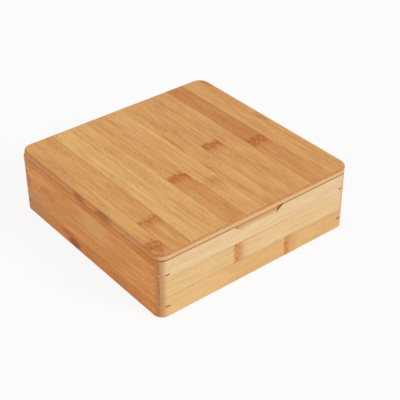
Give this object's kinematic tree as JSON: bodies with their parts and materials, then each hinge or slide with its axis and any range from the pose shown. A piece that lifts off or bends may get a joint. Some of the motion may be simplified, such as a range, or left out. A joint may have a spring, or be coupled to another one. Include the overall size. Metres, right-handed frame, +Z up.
{
  "type": "hinged bamboo box",
  "caption": "Square bamboo box with mitred and splined walls, a flat hinged lid of glued strips and a finger notch in the front.",
  "frame": {"origin": "centre of the base, on the underside of the bottom panel", "axes": "+Z up; -Y is the front with the finger notch, +Y the back with the hinges, +X to the right seen from the front"},
  "size_m": [0.241, 0.2438, 0.0749],
  "materials": {
    "lid_bamboo": "satin lacquered bamboo",
    "wall_bamboo": "satin lacquered bamboo",
    "spline_bamboo": "satin lacquered bamboo",
    "panel_bamboo": "satin bamboo board",
    "hinge_brass": "brushed brass"
  },
  "bodies": {
    "case": {"back_wall_strip_1": "wall_bamboo", "back_wall_strip_2": "wall_bamboo", "back_wall_strip_3": "wall_bamboo", "bottom_panel": "panel_bamboo", "case_hinge_screws": "hinge_brass", "corner_spline_back_left_high": "spline_bamboo", "corner_spline_back_left_low": "spline_bamboo", "corner_spline_back_right_high": "spline_bamboo", "corner_spline_back_right_low": "spline_bamboo", "corner_spline_front_left_high": "spline_bamboo", "corner_spline_front_left_low": "spline_bamboo", "corner_spline_front_right_high": "spline_bamboo", "corner_spline_front_right_low": "spline_bamboo", "front_wall_strip_1": "wall_bamboo", "front_wall_strip_2": "wall_bamboo", "front_wall_strip_3": "wall_bamboo", "hinge_case_leaf_left": "hinge_brass", "hinge_case_leaf_right": "hinge_brass", "hinge_pin_left": "hinge_brass", "hinge_pin_right": "hinge_brass", "left_wall_strip_1": "wall_bamboo", "left_wall_strip_2": "wall_bamboo", "left_wall_strip_3": "wall_bamboo", "left_wall_strip_4": "wall_bamboo", "right_wall_strip_1": "wall_bamboo", "right_wall_strip_2": "wall_bamboo", "right_wall_strip_3": "wall_bamboo", "right_wall_strip_4": "wall_bamboo"},
    "lid": {"hinge_lid_leaf_left": "hinge_brass", "hinge_lid_leaf_right": "hinge_brass", "lid_hinge_screws": "hinge_brass", "lid_strip_01": "lid_bamboo", "lid_strip_02": "lid_bamboo", "lid_strip_03": "lid_bamboo", "lid_strip_04": "lid_bamboo", "lid_strip_05": "lid_bamboo", "lid_strip_06": "lid_bamboo", "lid_strip_07": "lid_bamboo", "lid_strip_08": "lid_bamboo", "lid_strip_09": "lid_bamboo", "lid_strip_10": "lid_bamboo", "lid_strip_11": "lid_bamboo", "lid_strip_12": "lid_bamboo"}
  },
  "joints": [
    {"name": "lid_hinge", "type": "hinge", "parent": "case", "child": "lid", "pos_m": [0, 0.121, 0.0672], "axis": [-1, 0, 0], "range_deg": [0, 105]}
  ]
}
